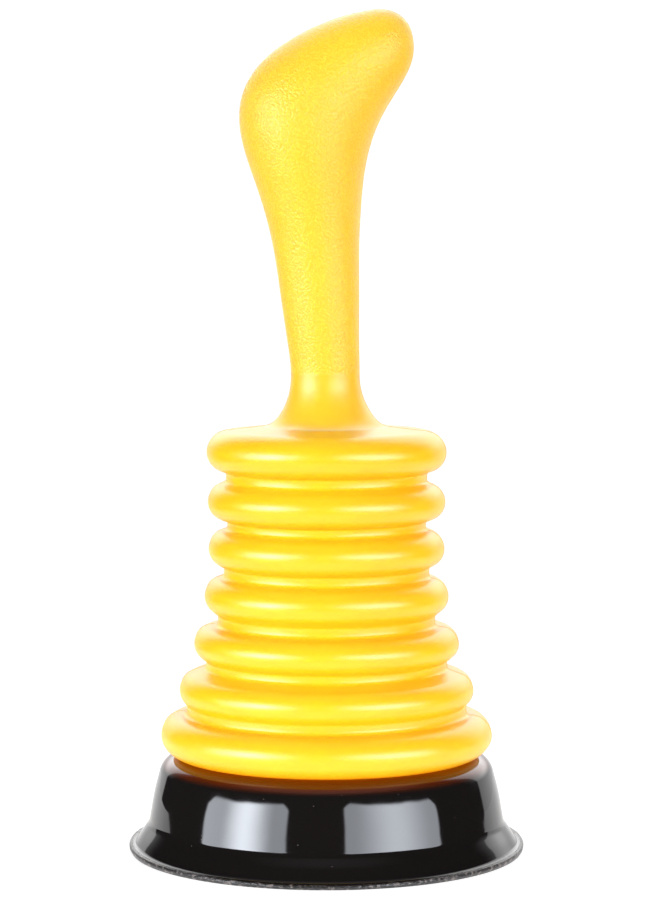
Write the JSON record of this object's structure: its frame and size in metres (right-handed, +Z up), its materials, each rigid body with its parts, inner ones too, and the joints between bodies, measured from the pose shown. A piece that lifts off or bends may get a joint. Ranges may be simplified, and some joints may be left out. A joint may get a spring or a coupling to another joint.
{
  "type": "sink plunger",
  "caption": "Bellows sink plunger: yellow palm grip and ribbed bellows, blow moulded in one, snapped into a glossy black cup with a flared sealing lip.",
  "frame": {"origin": "centre of the flat ring under the cup's lip, on the surface that the plunger stands on", "axes": "+Z up along the bellows to the grip; the grip leans towards +X; the part mirrors across Y = 0"},
  "size_m": [0.105, 0.105, 0.2217],
  "materials": {
    "yellow_moulding": "gloss",
    "yellow_grip": "satin",
    "black_cup": "gloss"
  },
  "bodies": {
    "cup": {"cup": "black_cup", "bellows_neck": "yellow_moulding"},
    "fold_1": {"bellows_fold_1": "yellow_moulding"},
    "fold_2": {"bellows_fold_2": "yellow_moulding"},
    "fold_3": {"bellows_fold_3": "yellow_moulding"},
    "fold_4": {"bellows_fold_4": "yellow_moulding"},
    "fold_5": {"bellows_fold_5": "yellow_moulding"},
    "fold_6": {"bellows_fold_6": "yellow_moulding"},
    "fold_7": {"bellows_fold_7": "yellow_moulding"},
    "grip": {"grip": "yellow_grip"}
  },
  "joints": [
    {"name": "plunge", "type": "slide", "parent": "cup", "child": "grip", "axis": [0, 0, 1], "range_m": [-0.04, 0], "stiffness_N_per_m": 1200, "springref_m": 0.002},
    {"name": "fold_1_travel", "type": "slide", "parent": "cup", "child": "fold_1", "axis": [0, 0, 1], "range_m": [-0.037, 0], "deforming": ["bellows_fold_1"]},
    {"name": "fold_2_travel", "type": "slide", "parent": "cup", "child": "fold_2", "axis": [0, 0, 1], "range_m": [-0.031, 0], "deforming": ["bellows_fold_2"]},
    {"name": "fold_3_travel", "type": "slide", "parent": "cup", "child": "fold_3", "axis": [0, 0, 1], "range_m": [-0.0252, 0], "deforming": ["bellows_fold_3"]},
    {"name": "fold_4_travel", "type": "slide", "parent": "cup", "child": "fold_4", "axis": [0, 0, 1], "range_m": [-0.0194, 0], "deforming": ["bellows_fold_4"]},
    {"name": "fold_5_travel", "type": "slide", "parent": "cup", "child": "fold_5", "axis": [0, 0, 1], "range_m": [-0.0139, 0], "deforming": ["bellows_fold_5"]},
    {"name": "fold_6_travel", "type": "slide", "parent": "cup", "child": "fold_6", "axis": [0, 0, 1], "range_m": [-0.0085, 0], "deforming": ["bellows_fold_6"]},
    {"name": "fold_7_travel", "type": "slide", "parent": "cup", "child": "fold_7", "axis": [0, 0, 1], "range_m": [-0.0028, 0], "deforming": ["bellows_fold_7"]}
  ],
  "couplings": [
    {"joint": "fold_1_travel", "follows": "plunge", "ratio": 0.92325},
    {"joint": "fold_2_travel", "follows": "plunge", "ratio": 0.77377},
    {"joint": "fold_3_travel", "follows": "plunge", "ratio": 0.62887},
    {"joint": "fold_4_travel", "follows": "plunge", "ratio": 0.48339},
    {"joint": "fold_5_travel", "follows": "plunge", "ratio": 0.34536},
    {"joint": "fold_6_travel", "follows": "plunge", "ratio": 0.21019},
    {"joint": "fold_7_travel", "follows": "plunge", "ratio": 0.069874}
  ]
}
